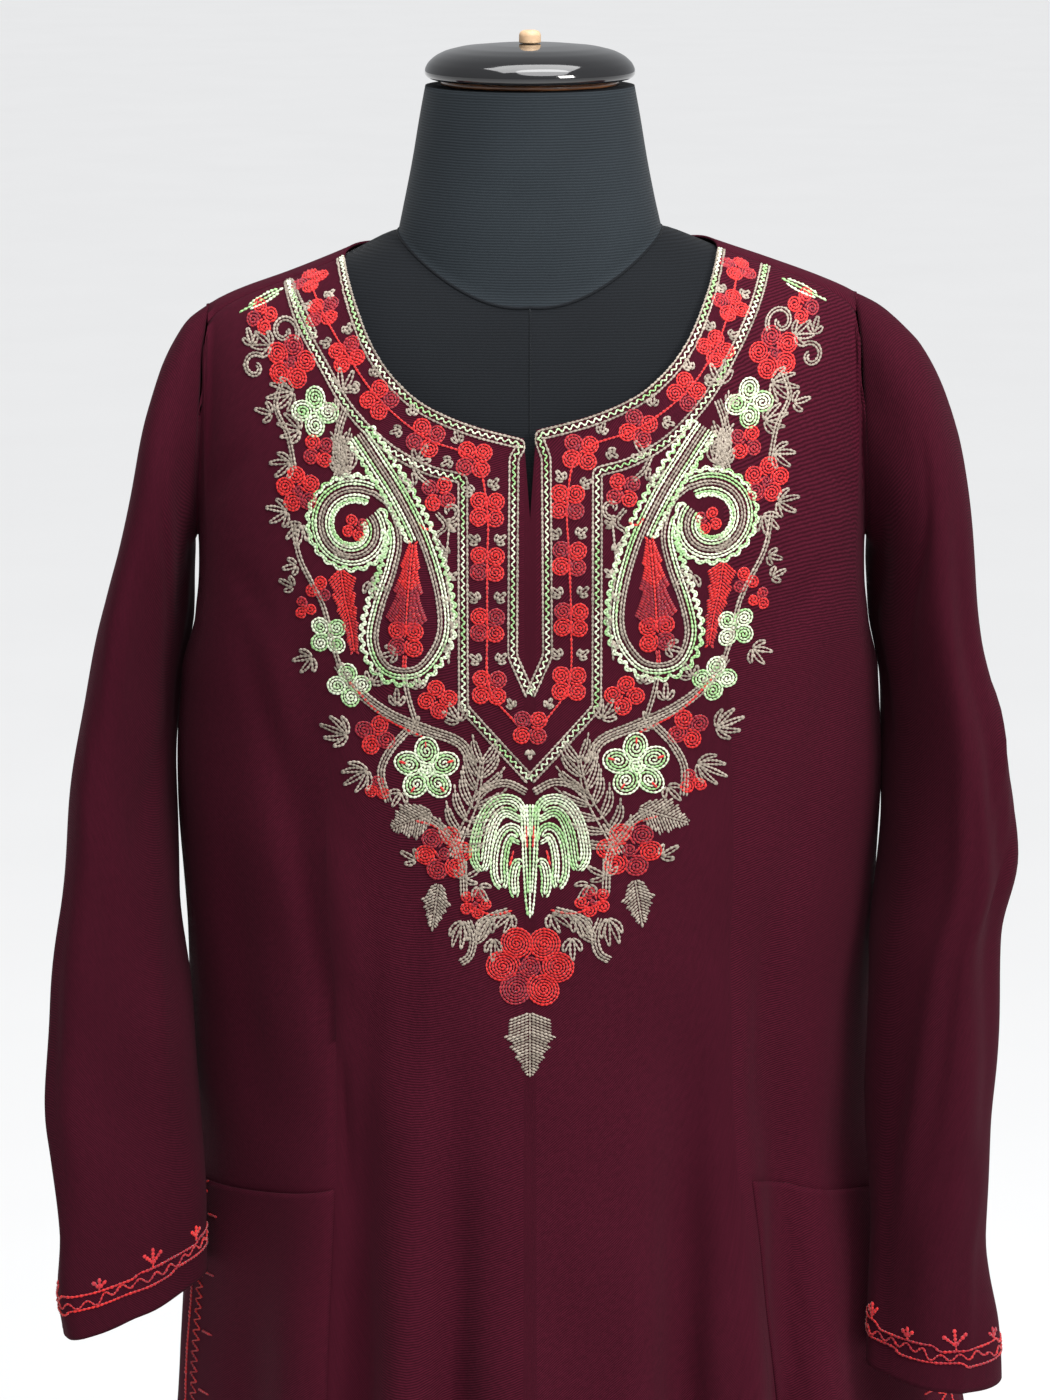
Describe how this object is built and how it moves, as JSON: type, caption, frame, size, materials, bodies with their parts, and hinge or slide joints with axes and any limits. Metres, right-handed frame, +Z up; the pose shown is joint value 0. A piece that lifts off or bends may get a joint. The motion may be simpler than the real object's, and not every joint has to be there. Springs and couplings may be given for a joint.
{
  "type": "pheran on dress form",
  "caption": "Long-sleeved woollen pheran with an embroidered yoke and side pockets, worn by a limbless dress form on a pole with a round base.",
  "frame": {"origin": "middle of the base's flat underside", "axes": "+Z up along the pole, the garment's front faces -Y, +X is to the right of someone looking at the front"},
  "size_m": [0.5705, 0.38, 1.5193],
  "materials": {
    "wool": "wine wool twill",
    "jersey": "black ribbed jersey",
    "lacquer": "gloss black",
    "wood": "dark varnished",
    "knob": "bare",
    "stand": "satin black",
    "red_thread": "chain-stitched yarn",
    "green_thread": "chain-stitched yarn",
    "taupe_thread": "chain-stitched yarn"
  },
  "bodies": {
    "root": {"front": "wool", "back": "wool", "sleeve_left": "wool", "sleeve_right": "wool", "pocket_left": "wool", "pocket_right": "wool", "form_body": "jersey", "cap_rim": "wood", "neck_cap": "lacquer", "cap_knob": "knob", "pole": "stand", "pole_collar": "stand", "base": "stand"}
  },
  "joints": []
}
